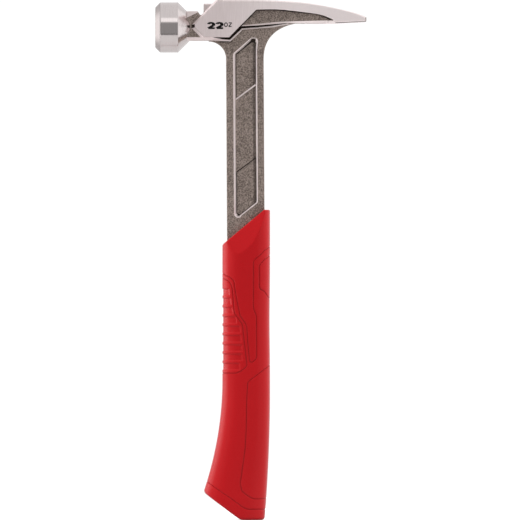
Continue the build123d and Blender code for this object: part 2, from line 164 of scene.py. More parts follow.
class SteelPlace:
    """Sockets for where a point of the forging is, in millimetres, and how its surface faces.

    side is |y|; back, rise, slope and tilt are the x, the z, the |z| and the |y| of its normal.
    """

    def __init__(self, tree):
        metres = put(tree, "ShaderNodeTexCoord").outputs["Object"]
        scaled = put(tree, "ShaderNodeVectorMath", {0: metres, "Scale": 1000.0}, operation="SCALE")
        self.vector = scaled.outputs[0]
        axes = put(tree, "ShaderNodeSeparateXYZ", {0: self.vector}).outputs
        self.x, self.z = axes["X"], axes["Z"]
        self.side = calc(tree, "ABSOLUTE", axes["Y"])
        normal = put(tree, "ShaderNodeNewGeometry").outputs["Normal"]
        facing = put(tree, "ShaderNodeSeparateXYZ", {0: normal}).outputs
        self.back = facing["X"]
        self.rise = facing["Z"]
        self.slope = calc(tree, "ABSOLUTE", self.rise)
        self.tilt = calc(tree, "ABSOLUTE", facing["Y"])


def turned_poll(tree, at):
    """The poll's lathe-turned cone and rim, where x + sqrt(y^2 + z^2) stays below 35.4."""
    radius = calc(tree, "SQRT", times_plus(tree, at.side, at.side,
                                           calc(tree, "MULTIPLY", at.z, at.z)))
    return within(tree, (calc(tree, "ADD", at.x, radius), 35.5, 35.3), (at.x, 26.2, 26.0))


def ground_head(tree, at):
    """The faces of the neck, cheeks and claw that are ground bright."""
    x, z, side, rise, tilt = at.x, at.z, at.side, at.rise, at.tilt
    cheeks = ramp(tree, side, 11.72, 11.82)
    flanks = within(tree, (side, 9.73, 9.8), (x, 50.0, 49.8), (x, 24.0, 24.2),
                    (at.slope, 0.15, 0.2))
    tops = within(tree, (rise, 0.45, 0.55), (z, 6.8, 6.9), (x, 20.0, 20.2))
    cleaned = times_plus(tree, ramp(tree, x, 40.5, 41.5), 1 - NECK_TOP_SHARE, NECK_TOP_SHARE)
    stop = within(tree, (z, 11.75, 11.85), (x, 41.5, 41.0), (x, 28.0, 28.2))
    neck_under = within(tree, (z, -7.3, -7.4), (z, -9.95, -9.85), (x, 52.2, 52.0),
                        (side, 7.1, 7.2))
    rail = within(tree, (side, 8.05, 8.1), (side, 9.38, 9.34), (z, 5.7, 5.6), (x, 41.0, 41.2),
                  (tilt, 0.25, 0.3))
    worn = within(tree, (x, 60.0, 66.0), (x, 106.0, 92.0))
    rail_left = times_plus(tree, worn, -WORN_RAIL_LOSS, 1.0)
    pocket_end = within(tree, (side, 8.05, 8.1), (z, 4.9, 4.7), (x, 123.0, 123.2),
                        (x, 132.0, 131.8))
    tip_under = within(tree, (rise, -0.35, -0.45), (x, 131.0, 131.2), (side, 11.45, 11.6))
    claw_under = within(tree, (rise, -0.93, -0.96), (x, 112.0, 114.0), (z, 5.6, 5.4))
    slot = within(tree, (x, 109.5, 109.6), (side, 5.8, 5.7))
    return any_of(tree, cheeks, flanks, weaken(tree, tops, cleaned), neck_under,
                  weaken(tree, rail, rail_left), pocket_end, tip_under, claw_under, slot,
                  weaken(tree, stop, STOP_SHARE))


def recess_walls(tree, at):
    """The shank's recess: (its ground rims, partly painted highlight, and the painted highlight on the
    panel's upper step; its foot in painted shade, and the painted shade beside it).

    level is |y| on the wall less the shank's swell, moved so that the wall nearest the face and
    the one nearest the claw are bright lower down, and the top one higher up. The rims are ground,
    but how far each is bright follows the way it faces, which is painted highlight.
    """
    from_middle = calc(tree, "ABSOLUTE", calc(tree, "SUBTRACT", at.x, SHANK_MIDDLE_X))
    walls = within(tree, (from_middle, 11.9, 11.6), (at.z, -3.2, -3.4), (at.z, -150.0, -149.0),
                   (at.side, 2.6, 2.7), (at.side, 7.2, 7.1), (at.tilt, 0.97, 0.92))
    # How far each wall is bright follows the way it faces: ground rims with painted highlight.
    back_wall = ramp(tree, at.back, -0.25, -0.4)
    level = times_plus(tree, ramp(tree, at.back, 0.2, 0.5), 0.7, at.side)
    level = times_plus(tree, ramp(tree, at.z, -20.0, -5.0), -SHANK_SWELL, level)
    level = times_plus(tree, ramp(tree, at.rise, -0.2, -0.4), -0.35, level)
    level = times_plus(tree, back_wall, 0.75, level)
    lower = weaken(tree, ramp(tree, level, 4.15, 4.25), LOWER_WALL_SHARE)
    back_edge = both(tree, back_wall, ramp(tree, level, 5.55, 5.65))
    lit = calc(tree, "SUBTRACT", any_of(tree, ramp(tree, level, 4.7, 4.85), lower), back_edge)
    # Painted highlight on the panel's upper step, which faces up.
    upper_step_highlight = within(tree, (at.rise, 0.2, 0.3), (at.z, -70.0, -69.0), (at.side, 3.8, 3.75),
                        (at.tilt, 0.50, 0.58))
    rims = both(tree, walls, any_of(tree, lit, upper_step_highlight))
    # Painted shade at the foot of the walls and on a band of the recess floor beside them.
    upright = times_plus(tree, at.z, SHANK_LEAN, at.x)
    floor_shade = within(tree, (upright, 71.0, 71.6), (upright, 74.5, 74.0), (at.side, 3.76, 3.74),
                         (at.z, -8.0, -10.0), (at.z, -130.0, -128.0))
    foot = both(tree, walls, ramp(tree, level, 4.25, 4.15))
    return rims, any_of(tree, foot, weaken(tree, floor_shade, RECESS_FLOOR_SHADE))


def painted_shade_and_scale(tree, at):
    """Dark places of the head: mill scale and painted shade in the grooves, and painted shade
    on the pocket's steep walls, the nose, the claw tip's lower edge and under the rail.
    """
    x, z, side = at.x, at.z, at.side
    # Mill scale and painted shade on the groove's floor above the rail.
    groove_floor = within(tree, (side, 5.95, 5.92), (side, 5.8, 5.85), (z, -9.2, -9.1),
                          (x, 40.0, 41.0))
    above_rail = any_of(tree, ramp(tree, calc(tree, "SUBTRACT", x, z), 66.0, 65.0),
                        ramp(tree, z, -3.0, -2.5))
    # Painted shade on the pocket's steep walls, the nose's flank and the claw tip's lower edge.
    pocket_wall = within(tree, (side, 9.45, 9.5), (side, 12.0, 11.9), (x, 58.0, 58.5),
                         (z, -8.0, -7.5), (z, 14.5, 14.0), (at.tilt, 0.6, 0.5), (x, 131.5, 131.0))
    nose = within(tree, (side, 9.73, 9.8), (x, 29.6, 29.4), (x, 26.2, 26.4), (at.slope, 0.2, 0.15))
    tip_edge = within(tree, (at.rise, -0.35, -0.45), (x, 116.0, 124.0), (side, 10.6, 10.7),
                      (side, 11.6, 11.45))
    # Painted shadow under the rail.
    shadow_under_rail = within(tree, (z, -11.8, -10.6), (side, 8.0, 7.9), (x, 45.0, 50.0),
                        (x, 57.0, 55.5))
    return any_of(tree, both(tree, groove_floor, above_rail), pocket_wall, nose, tip_edge,
                  weaken(tree, shadow_under_rail, UNDER_RAIL_SHADE))


def forging_steel():
    """Shot-blasted grey steel that turns to bright ground steel on the worked faces, with painted
    highlight on the recess rims, painted light towards the claw and painted shade in the hollows.

    Each worked face is the smallest of some smooth steps in x, |y|, z and the way it faces.
    """
    material, tree, shader = new_material("forged_and_ground_steel")
    at = SteelPlace(tree)
    turned = turned_poll(tree, at)
    rims, foot = recess_walls(tree, at)
    # ground also holds the painted highlight on the recess rims and the panel's upper step.
    ground = any_of(tree, turned, ground_head(tree, at), rims)
    # Painted shade: a dark line along the chamfers between the cheeks and the flanks.
    arris_shade = within(tree, (at.side, 11.6, 11.7), (at.tilt, 0.96, 0.92), (at.tilt, 0.66, 0.72),
                   (at.x, 27.0, 28.0), (at.x, 50.0, 49.0))
    ground = times_plus(tree, arris_shade, -ARRIS_SHADE, ground)
    face_bevel = both(tree, turned, ramp(tree, at.x, 3.9, 3.6))

    # Ground grain: fine lines that run up and down, so they change along X only.
    lines = put(tree, "ShaderNodeMapping", {"Vector": at.vector, "Scale": (2.0, 0.12, 0.10)})
    grain = put(tree, "ShaderNodeTexNoise", {"Vector": lines.outputs[0], "Scale": 1.0,
                                             "Detail": 4.0, "Roughness": 0.6}).outputs["Fac"]
    strength = times_plus(tree, turned, -0.5, 1.0)
    grain = times_plus(tree, calc(tree, "SUBTRACT", grain, 0.5), strength, 0.5)
    # Blasted grain: pits about a millimetre across with finer ones inside them.
    pits = put(tree, "ShaderNodeTexNoise", {"Vector": at.vector, "Scale": 1.2, "Detail": 2.0,
                                            "Roughness": 0.6}).outputs["Fac"]
    patches = put(tree, "ShaderNodeTexNoise", {"Vector": at.vector, "Scale": 0.06,
                                               "Detail": 2.0}).outputs["Fac"]

    blotch = ramp(tree, times_plus(tree, patches, 0.15, pits), 0.38, 0.78)
    forged_color = blend_color(tree, blotch, FORGED_DARK, FORGED_LIGHT)
    # Painted shade in the hollows and at the foot of the recess walls, with mill scale in the grooves.
    shade_and_scale = any_of(tree, painted_shade_and_scale(tree, at), foot)
    forged_color = blend_color(tree, shade_and_scale, forged_color, SCALE_AND_PAINTED_SHADE)
    # Painted light: the ground steel gets lighter towards the claw.
    painted_light_toward_claw = weaken(tree, ramp(tree, at.x, 35.0, 110.0), 0.5)
    ground_tone = ramp(tree, times_plus(tree, grain, 0.6, painted_light_toward_claw), 0.15, 0.85)
    ground_color = blend_color(tree, ground_tone, GROUND_DARK, GROUND_LIGHT)
    turned_color = blend_color(tree, ramp(tree, grain, 0.15, 0.85), TURNED_DARK, TURNED_LIGHT)
    ground_color = blend_color(tree, turned, ground_color, turned_color)
    # Painted shade: the face's bevel is coloured darker than the turned poll.
    ground_color = blend_color(tree, face_bevel, ground_color, FACE_BEVEL_SHADED)
    color = blend_color(tree, ground, forged_color, ground_color)
    tree.links.new(color, shader.inputs["Base Color"])

    satin = times_plus(tree, turned, TURNED_ROUGHNESS - GROUND_ROUGHNESS, GROUND_ROUGHNESS)
    satin = times_plus(tree, face_bevel, BEVEL_ROUGHNESS - TURNED_ROUGHNESS, satin)
    rough = put(tree, "ShaderNodeMapRange", {
        "Value": ground, "To Min": times_plus(tree, pits, 0.18, FORGED_ROUGHNESS),
        "To Max": times_plus(tree, grain, 0.08, satin)}).outputs["Result"]
    tree.links.new(rough, shader.inputs["Roughness"])
    shader.inputs["Metallic"].default_value = 1.0
    height = put(tree, "ShaderNodeMapRange", {
        "Value": ground, "To Min": calc(tree, "MULTIPLY", pits, PIT_DEPTH),
        "To Max": calc(tree, "MULTIPLY", grain, GRAIN_DEPTH)}).outputs["Result"]
    bump = put(tree, "ShaderNodeBump", {"Height": height, "Strength": 1.0, "Distance": 1.0})
    tree.links.new(bump.outputs[0], shader.inputs["Normal"])
    return material


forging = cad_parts["steel_forging"]
forging.data.materials.clear()
forging.data.materials.append(forging_steel())

# --- Nail starter magnet ---------------------------------------------------------------------
# Nickel-plated disc magnet that holds a nail for the first blow. It is pressed into the floor of
# the groove along the top of the poll and neck.
NICKEL_DULL = (0.52, 0.50, 0.46, 1)
NICKEL_BRIGHT = (0.78, 0.76, 0.72, 1)


def nickel_plate():
    """Bright nickel with faint cloudy scuffs."""
    material, tree, shader = new_material("nickel_plate")
    place = put(tree, "ShaderNodeTexCoord").outputs["Object"]
    scuffs = put(tree, "ShaderNodeTexNoise", {"Vector": place, "Scale": 1400.0,
                                              "Detail": 4.0}).outputs["Fac"]
    tone = blend_color(tree, scuffs, NICKEL_DULL, NICKEL_BRIGHT)
    tree.links.new(tone, shader.inputs["Base Color"])
    tree.links.new(times_plus(tree, scuffs, 0.25, 0.12), shader.inputs["Roughness"])
    shader.inputs["Metallic"].default_value = 1.0
    return material


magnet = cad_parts["nail_starter_magnet"]
magnet.data.materials.clear()
magnet.data.materials.append(nickel_plate())

# --- Grip core -------------------------------------------------------------------------------
# Black glass-filled nylon, moulded over the tang first.
# The soft skin hides all of it.
NYLON_BLACK = (0.010, 0.010, 0.011, 1)
NYLON_GREY = (0.028, 0.028, 0.030, 1)


def core_nylon():
    """Dull black nylon with a fine moulded texture."""
    material, tree, shader = new_material("core_nylon")
    place = put(tree, "ShaderNodeTexCoord").outputs["Object"]
    fibres = put(tree, "ShaderNodeTexNoise", {"Vector": place, "Scale": 900.0,
                                              "Detail": 3.0}).outputs["Fac"]
    tone = blend_color(tree, fibres, NYLON_BLACK, NYLON_GREY)
    tree.links.new(tone, shader.inputs["Base Color"])
    tree.links.new(times_plus(tree, fibres, 0.2, 0.5), shader.inputs["Roughness"])
    return material


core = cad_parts["grip_core"]
core.data.materials.clear()
core.data.materials.append(core_nylon())

# --- Grip skin -------------------------------------------------------------------------------
# Soft red rubber moulded over the core: a swelling barrel with a slanted mouth and butt, a flat
# facet beside the mouth, finger ribs in front, and thin moulded lines that outline its panels.
GIRTH = 49.0                    # half way round the barrel, front to back
BODY_RUN = 215.0                # from the mouth's rounded rim to the butt's, along the surface
MOUTH_BACK = (79.7, -133.6)     # back end of the slanted mouth line
MOUTH_SLOPE = 0.835
MOUTH_R = 0.9
LIP_WIDTH = 4.3
LIP_HALF_Y = 9.2
FACET_SLOPE = 0.30
FACET_SOFTNESS = 0.02           # square of the distance over which its crease is rounded
BUTT_FLOOR = -360.8
BUTT_CORNER_X = 62.4
BUTT_SLOPE = 0.749
BUTT_R = 2.2
MIDDLE_X = 66.5
SETTLING_ROUNDS = 6
SECTION_POWER = 2.5
OUTLINE_HALF_WIDTH = 17.5       # of the section whose outline spaces the points round the grip
OUTLINE_HALF_THICKNESS = 13.4
GROOVE_DEPTH = 0.42
GROOVE_HALF_WIDTH = 0.34
CREASE_HALF_WIDTH = 0.36        # reach of the painted shade and the duller rubber in each groove
RIB_PITCH = 6.8
RIB_FIRST_Z = -194.0
RIB_ZONE_Z = (-256.0, -186.0)
RIB_ZONE_BACK = 66.0
POCKET_DEPTH = 0.60
POCKET_HALF_HEIGHT = (1.9, 2.9) # full depth up to the first, none past the second
POCKET_BACK = (-0.7, 0.5)       # the same two at its back end, measured from its reach
POCKET_BACK_SLOPE = 0.15
POCKET_REACH = (54.2, 55.4, 56.7, 59.5, 62.4, 63.0, 63.6, 63.6, 62.0)
RED_DEEP = (0.40, 0.006, 0.009, 1)
RED_BRIGHT = (0.45, 0.008, 0.011, 1)
RED_CREASE_SHADE = (0.28, 0.004, 0.006, 1)
COLUMNS = 32
ROW_COUNTS = (3, 2, 140, 3, 8)  # on the lip, the mouth's rim, the body, the butt's rim and its cap
CAP_RUN = 14.2                  # from the butt's rounded rim to the middle of its cap
MOUTH_RIM_REACH = 1.5
BUTT_RIM = (2.0, 3.0)           # how far past the body its middle lies, and its reach each way
FACET_RUN = 60.0                # the facet's crease is nearer the mouth than this
# Reach from a panel line, reach from the facet's crease, and whether ribs and rims are cut too.
REFINE_STEPS = ((2.0, 1.2, True), (1.0, 0.5, True), (0.6, 0.2, False))


def barrel(z):
    """Middle x and the half width and half thickness of the grip's section at each height.

    The front edge is 49.1 down to z = -258 and then sweeps forward with the square of the
    distance below it; the back edge draws in the same way from -265 and has a shallow waist.
    """
    below_front = np.maximum(0.0, -258.0 - z)
    below_back = np.maximum(0.0, -265.0 - z)
    front = 49.1 - 0.00204 * below_front**2
    back = 84.05 - 0.00043 * below_back**2 - 0.35 * np.exp(-(((z + 215.0) / 25.0) ** 2))
    thick = 13.3 + 0.00025 * below_front**2
    return (front + back) / 2, (back - front) / 2, thick


def mouth_z(x):
    """Height of the mouth: the slanted line, and level behind its back end."""
    return MOUTH_BACK[1] + MOUTH_SLOPE * np.minimum(0.0, x - MOUTH_BACK[0])


def butt_z(x):
    """Height of the butt: level behind the corner, slanting up in front of it."""
    ahead = BUTT_CORNER_X - x
    return BUTT_FLOOR + BUTT_SLOPE * 0.5 * (ahead + np.sqrt(ahead**2 + 2.0))


def superellipse(angle):
    """x and y of the curve |x|^p + |y|^p = 1, from its front end at 0 to its back end at pi."""
    x = -np.sign(np.cos(angle)) * np.abs(np.cos(angle)) ** (2 / SECTION_POWER)
    return x, np.abs(np.sin(angle)) ** (2 / SECTION_POWER)


# Angle round the superellipse against the share of its length, front to back.
ANGLES = np.linspace(0.0, np.pi, 4001)
OUTLINE_X, OUTLINE_Y = superellipse(ANGLES)
OUTLINE_X = OUTLINE_X * OUTLINE_HALF_WIDTH
OUTLINE_Y = OUTLINE_Y * OUTLINE_HALF_THICKNESS
SHARES = np.concatenate([[0.0], np.cumsum(np.hypot(np.diff(OUTLINE_X), np.diff(OUTLINE_Y)))])
SHARES /= SHARES[-1]


def on_surface(points):
    """(x, z) points of the side view as (round, along) places on the unrolled grip."""
    x, z = points[:, 0], points[:, 1]
    middle, width, _ = barrel(z)
    reach = np.clip((middle - x) / width, -1.0, 1.0)
    angle = np.arccos(np.sign(reach) * np.abs(reach) ** (SECTION_POWER / 2))
    round_way = np.interp(angle, ANGLES, SHARES) * GIRTH
    top = mouth_z(x) - MOUTH_R
    run = top - (butt_z(x) + BUTT_R)
    return np.stack([round_way, (top - z) / run * BODY_RUN], axis=1)


PANEL_LINES = [
    # The long panel beside the back edge, ending in a slim tongue, and back up to the front.
    [(86.0, -159.2), (83.5, -161.0), (72.0, -170.9), (71.9, -205.8), (74.1, -210.9), (74.3, -242.4),
     (70.6, -245.7), (69.1, -244.5), (67.8, -230.2), (67.1, -219.2), (66.3, -217.2),
     (62.2, -211.2), (60.3, -202.0), (58.4, -192.3), (57.8, -186.0), (55.2, -183.5),
     (49.2, -180.4), (47.0, -179.4)],
    [(86.0, -165.6), (83.3, -167.7), (76.2, -174.0), (76.2, -190.8), (83.3, -198.1),
     (86.0, -200.4)],
    [(47.0, -182.5), (49.2, -183.6), (54.4, -186.4), (56.4, -190.6), (57.9, -209.2), (63.9, -217.6),
     (64.3, -221.8), (66.0, -236.1), (67.2, -247.0), (66.4, -249.1), (60.0, -253.3),
     (48.0, -253.3)],
    # The lower panel at the back.
    [(86.0, -246.0), (83.6, -247.6), (67.8, -259.7), (67.1, -272.0), (66.8, -293.0), (65.7, -310.5),
     (63.6, -324.6), (62.3, -333.7), (63.3, -339.3), (67.4, -342.8), (71.7, -345.2),
     (76.0, -345.4), (86.0, -344.2)],
    # The line round the butt.
    [(30.0, -326.6), (38.4, -333.0), (66.8, -352.9), (86.0, -352.9)],
]


def round_corners(points, size=1.6):
    """The polyline with each corner cut by a short quadratic curve of this size."""
    out = [points[0]]
    for before, here, after in zip(points[:-2], points[1:-1], points[2:]):
        to_before, to_after = before - here, after - here
        near = np.hypot(*to_before), np.hypot(*to_after)
        first = here + to_before * min(size / near[0], 0.4)
        last = here + to_after * min(size / near[1], 0.4)
        for t in (0.0, 0.33, 0.67, 1.0):
            out.append((1 - t) ** 2 * first + 2 * t * (1 - t) * here + t * t * last)
    out.append(points[-1])
    return np.array(out)


def fine_points(points, step=4.0):
    """The polyline with extra points, so that its runs bend with the surface."""
    pieces = [points[:1]]
    for first, last in zip(points[:-1], points[1:]):
        count = max(1, int(np.hypot(*(last - first)) / step))
        share = np.arange(1, count + 1)[:, None] / count
        pieces.append(first + (last - first) * share)
    return np.concatenate(pieces)


def groove_distance(place):
    """Distance on the unrolled grip from each place to the nearest panel line."""
    nearest = np.full(len(place), 99.0)
    for line in PANEL_LINES:
        flat = on_surface(fine_points(round_corners(np.array(line))))
        for first, last in zip(flat[:-1], flat[1:]):
            run = last - first
            share = np.clip(((place - first) @ run) / max(run @ run, 1e-9), 0.0, 1.0)
            gap = place - first - share[:, None] * run
            nearest = np.minimum(nearest, np.hypot(gap[:, 0], gap[:, 1]))
    return nearest


def smooth_step(value, low, high):
    """0 below low and 1 above high, with an even slope at both ends."""
    t = np.clip((value - low) / (high - low), 0.0, 1.0)
    return t * t * (3 - 2 * t)


def pocket_depth(x, z):
    """Depth of the scallops between the finger ribs: soft-edged boxes in height and reach."""
    depth = np.zeros(len(z))
    for index, reach in enumerate(POCKET_REACH):
        above = z - RIB_FIRST_Z + index * RIB_PITCH
        in_height = 1.0 - smooth_step(np.abs(above), *POCKET_HALF_HEIGHT)
        in_reach = 1.0 - smooth_step(x + POCKET_BACK_SLOPE * above - reach, *POCKET_BACK)
        depth = np.maximum(depth, in_height * in_reach)
    return depth * POCKET_DEPTH


def grip_points(place):
    """3-D points of unrolled places (round, along), and how far each was outside the facet.

    round gives the angle on the superellipse that is the section at that height.
    along gives the height between mouth and butt and how far the section is drawn in: quarter
    circles at both rims, the lip's flat ring before the first and the butt's cap after the last.
    """
    round_way, along = place[:, 0], place[:, 1]
    angle = np.interp(round_way / GIRTH, SHARES, ANGLES)
    unit_x, unit_y = superellipse(angle)
    quarter = np.pi / 2
    turn_in = np.clip((along + MOUTH_R * quarter) / MOUTH_R, 0.0, quarter)
    lip = np.maximum(0.0, -along - MOUTH_R * quarter)
    drop = MOUTH_R * (1 - np.cos(turn_in))
    inset = MOUTH_R * (1 - np.sin(turn_in)) + lip
    share = np.clip(along / BODY_RUN, 0.0, 1.0)
    past = np.maximum(0.0, along - BODY_RUN)
    turn_out = np.clip(past / BUTT_R, 0.0, quarter)
    cap = np.maximum(0.0, past - BUTT_R * quarter)
    lift = BUTT_R * (1 - np.sin(turn_out))
    inset = inset + BUTT_R * (1 - np.cos(turn_out)) + cap
    groove = GROOVE_DEPTH * np.exp(-((groove_distance(place) / GROOVE_HALF_WIDTH) ** 2))
    # The slanted ends make the height depend on x, and the bent barrel makes x depend on the
    # height, so both are settled in rounds from a middle x.
    x = np.full(len(place), MIDDLE_X)
    for _ in range(SETTLING_ROUNDS):
        top = mouth_z(x)
        low = butt_z(x)
        z = np.where(share < 1.0, top - drop - share * (top - drop - low - BUTT_R), low + lift)
        middle, width, thick = barrel(z)
        depth = inset + groove + pocket_depth(x, z)
        x = middle + np.maximum(width - depth, 0.0) * unit_x
    line_z = MOUTH_BACK[1] + MOUTH_SLOPE * (x - MOUTH_BACK[0])
    from_mouth = (line_z - z) / np.hypot(1.0, MOUTH_SLOPE)
    facet = LIP_HALF_Y + FACET_SLOPE * from_mouth - inset
    y = np.maximum(thick - depth, 0.0) * unit_y
    over = y - facet
    y = y - 0.5 * (over + np.sqrt(over**2 + FACET_SOFTNESS)) * (along < BODY_RUN)
    return np.stack([x, -np.maximum(y, 0.0), z], axis=1), over


def refine(flat, wanted):
    """Cut in four every face whose corners' mean is wanted, keeping the rest joined to it."""
    flat.faces.ensure_lookup_table()
    places = np.array([f.calc_center_median()[:2] for f in flat.faces])
    chosen = wanted(places)
    edges = {e for f, use in zip(flat.faces, chosen) if use for e in f.edges}
    bmesh.ops.subdivide_edges(flat, edges=list(edges), cuts=1, use_grid_fill=True)


def near_feature(reach, crease, ribs_too):
    """A test of places: near a panel line or the facet's crease, or also on the ribs or a rim."""

    def wanted(places):
        along = places[:, 1]
        points, over = grip_points(places)
        x, z = points[:, 0], points[:, 2]
        near = groove_distance(places) < reach
        near |= (np.abs(over) < crease) & (along < FACET_RUN)
        if ribs_too:
            low, high = RIB_ZONE_Z
            near |= (z < high) & (z > low) & (x < RIB_ZONE_BACK) & (along < BODY_RUN)
            near |= np.abs(along) < MOUTH_RIM_REACH
            near |= np.abs(along - BODY_RUN - BUTT_RIM[0]) < BUTT_RIM[1]
        return near

    return wanted


def make_grip_skin():
    """Half of the skin as an unrolled grid, refined where it has detail, rolled up and mirrored."""
    lip_end = -MOUTH_R * np.pi / 2
    cap_start = BODY_RUN + BUTT_R * np.pi / 2
    ends = [lip_end - LIP_WIDTH, lip_end, 0.0, BODY_RUN, cap_start, cap_start + CAP_RUN]
    rows = [np.linspace(first, last, count, endpoint=False)
            for first, last, count in zip(ends, ends[1:], ROW_COUNTS)]
    rows = np.concatenate([*rows, ends[-1:]])
    across = np.linspace(0.0, GIRTH, COLUMNS + 1)
    grid = np.stack(np.meshgrid(across, rows), axis=2).reshape(-1, 2)
    grid = np.column_stack([grid, np.zeros(len(grid))])
    index = np.arange(len(grid)).reshape(len(rows), COLUMNS + 1)
    faces = np.stack([index[:-1, :-1], index[1:, :-1], index[1:, 1:], index[:-1, 1:]], axis=2)
    mesh = bpy.data.meshes.new("grip_skin_surface")
    mesh.from_pydata(grid.tolist(), [], faces.reshape(-1, 4).tolist())
    flat = bmesh.new()
    flat.from_mesh(mesh)
    for step in REFINE_STEPS:
        refine(flat, near_feature(*step))
    flat.to_mesh(mesh)
    flat.free()
    place = np.zeros(len(mesh.vertices) * 3)
    mesh.vertices.foreach_get("co", place)
    place = place.reshape(-1, 3)[:, :2]
    points, _ = grip_points(place)
    mesh.vertices.foreach_set("co", (points * MM).ravel())
    # crease: where the grooves get painted shade and duller rubber.
    crease = np.exp(-((groove_distance(place) / CREASE_HALF_WIDTH) ** 2))
    mesh.attributes.new("crease", "FLOAT", "POINT").data.foreach_set("value", crease)
    mesh.update()
    skin = bpy.data.objects.new("red_grip", mesh)
    bpy.context.scene.collection.objects.link(skin)
    other = skin.modifiers.new("other_side", "MIRROR")
    other.use_axis = (False, True, False)
    other.merge_threshold = 0.00002
    mesh.polygons.foreach_set("use_smooth", np.ones(len(mesh.polygons), bool))
    return skin


def grip_rubber():
    """Satin red rubber: fine moulded stipple, slow changes of tone and painted shade in the grooves."""
    material, tree, shader = new_material("grip_rubber")
    place = put(tree, "ShaderNodeTexCoord").outputs["Object"]
    drift = put(tree, "ShaderNodeTexNoise", {"Vector": place, "Scale": 22.0,
                                             "Detail": 3.0}).outputs["Fac"]
    stipple = put(tree, "ShaderNodeTexNoise", {"Vector": place, "Scale": 1900.0, "Detail": 2.0,
                                               "Roughness": 0.6}).outputs["Fac"]
    crease = put(tree, "ShaderNodeAttribute", attribute_name="crease").outputs["Fac"]
    red = blend_color(tree, drift, RED_DEEP, RED_BRIGHT)
    # Painted shade in the grooves.
    tree.links.new(blend_color(tree, crease, red, RED_CREASE_SHADE), shader.inputs["Base Color"])
    rough = times_plus(tree, crease, 0.3, times_plus(tree, stipple, 0.10, 0.24))
    tree.links.new(rough, shader.inputs["Roughness"])
    shader.inputs["IOR"].default_value = 1.32
    shader.inputs["Specular Tint"].default_value = (1.0, 0.6, 0.6, 1)
    bump = put(tree, "ShaderNodeBump", {"Height": stipple, "Strength": 0.25,
                                        "Distance": 0.00012})
    tree.links.new(bump.outputs[0], shader.inputs["Normal"])
    return material


grip = make_grip_skin()
grip.data.materials.append(grip_rubber())
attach(grip, "root")
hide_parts("grip_skin")

# --- Weight mark -----------------------------------------------------------------------------
# The head's weight in black on the near cheek: two bold figures and a small unit of two letters.
# Every stroke is drawn with a flat oval pen.
CHEEK_Y = 12.1
MARK_LOW_Z = -1.45
MARK_DEPTH = 0.05               # how far the paint stands proud of the steel
MARK_SINK = 0.02                # how far its back lies inside the steel
STROKE_LIFT = 0.006             # each stroke stands this much prouder than the one before
FIGURE = (6.2, 5.2)             # width and height of a figure
FIGURE_PEN = (1.22, 0.66)       # half widths of the pen across and up
FIGURE_LEFTS = (37.8, 43.9)
FIGURE_ARC = (165.0, -38.0)     # ends of the bowl of a 2, in degrees round from the right
FIGURE_BOWL = 0.30              # half the bowl's height, as a share of the figure's
LETTER = (2.8, 3.3)
LETTER_PEN = (0.34, 0.32)
LETTER_LEFTS = (50.4, 53.5)
LETTER_LOW_Z = 0.1
PAINT_BLACK = (0.002, 0.002, 0.002, 1)
PAINT_WORN = (0.010, 0.008, 0.008, 1)


def black_enamel():
    """Dull black paint with small uneven patches."""
    material, tree, shader = new_material("black_enamel")
    place = put(tree, "ShaderNodeTexCoord").outputs["Object"]
    wear = put(tree, "ShaderNodeTexNoise", {"Vector": place, "Scale": 2200.0,
                                            "Detail": 3.0}).outputs["Fac"]
    tone = blend_color(tree, ramp(tree, wear, 0.35, 0.8), PAINT_BLACK, PAINT_WORN)
    shader.inputs["Specular IOR Level"].default_value = 0.15
    tree.links.new(tone, shader.inputs["Base Color"])
    tree.links.new(times_plus(tree, wear, 0.3, 0.45), shader.inputs["Roughness"])
    return material


def figure_two(size, pen):
    """Centre lines of a 2: most of an oval from its left end over to its right, then two runs."""
    width, height = size
    half = width / 2 - pen[0]
    drop = height * FIGURE_BOWL - pen[1] / 2
    angles = np.radians(np.linspace(*FIGURE_ARC, 30))
    oval = np.stack([width / 2 + half * np.cos(angles),
                     height - pen[1] - drop + drop * np.sin(angles)], axis=1)
    low = np.array([[pen[0] * 0.9, pen[1]], [width - pen[0] * 0.3, pen[1]]])
    return [oval, np.array([oval[-1], low[0]]), low]


def letter_o(size, pen):
    """Centre line of an o: a whole oval."""
    width, height = size
    angles = np.linspace(0.0, 2 * np.pi, 41)
    return [np.stack([width / 2 + (width / 2 - pen[0]) * np.cos(angles),
                      height / 2 + (height / 2 - pen[1]) * np.sin(angles)], axis=1)]


def letter_z(size, pen):
    """Centre lines of a z: its top, its slope and its foot."""
    (width, height), (x, y) = size, pen
    top = np.array([[x, height - y], [width - x, height - y]])
    foot = np.array([[x, y], [width - x, y]])
    return [top, np.array([top[1], foot[0]]), foot]


def pen_stroke(line, pen, lift):
    """Box-section bar along a centre line: the pen's oval gives its half width square to the run.

    In a plane where the pen is round the bar has parallel sides one pen radius from the line.
    """
    run = np.gradient(line / pen, axis=0)
    run /= np.hypot(run[:, 0], run[:, 1])[:, None]
    across = np.stack([-run[:, 1], run[:, 0]], axis=1) * pen
    near = np.full(len(line), -CHEEK_Y - MARK_DEPTH - lift)
    far = np.full(len(line), -CHEEK_Y + MARK_SINK)
    rings = [np.stack([edge[:, 0], level, edge[:, 1]], axis=1)
             for edge, level in ((line + across, near), (line - across, near),
                                 (line - across, far), (line + across, far))]
    points = np.stack(rings, axis=1).reshape(-1, 3)
    index = np.arange(len(points)).reshape(-1, 4)
    turned = np.roll(index, -1, axis=1)
    sides = np.stack([index[:-1], turned[:-1], turned[1:], index[1:]], axis=2).reshape(-1, 4)
    return points, np.concatenate([sides, index[:1, ::-1], index[-1:]])


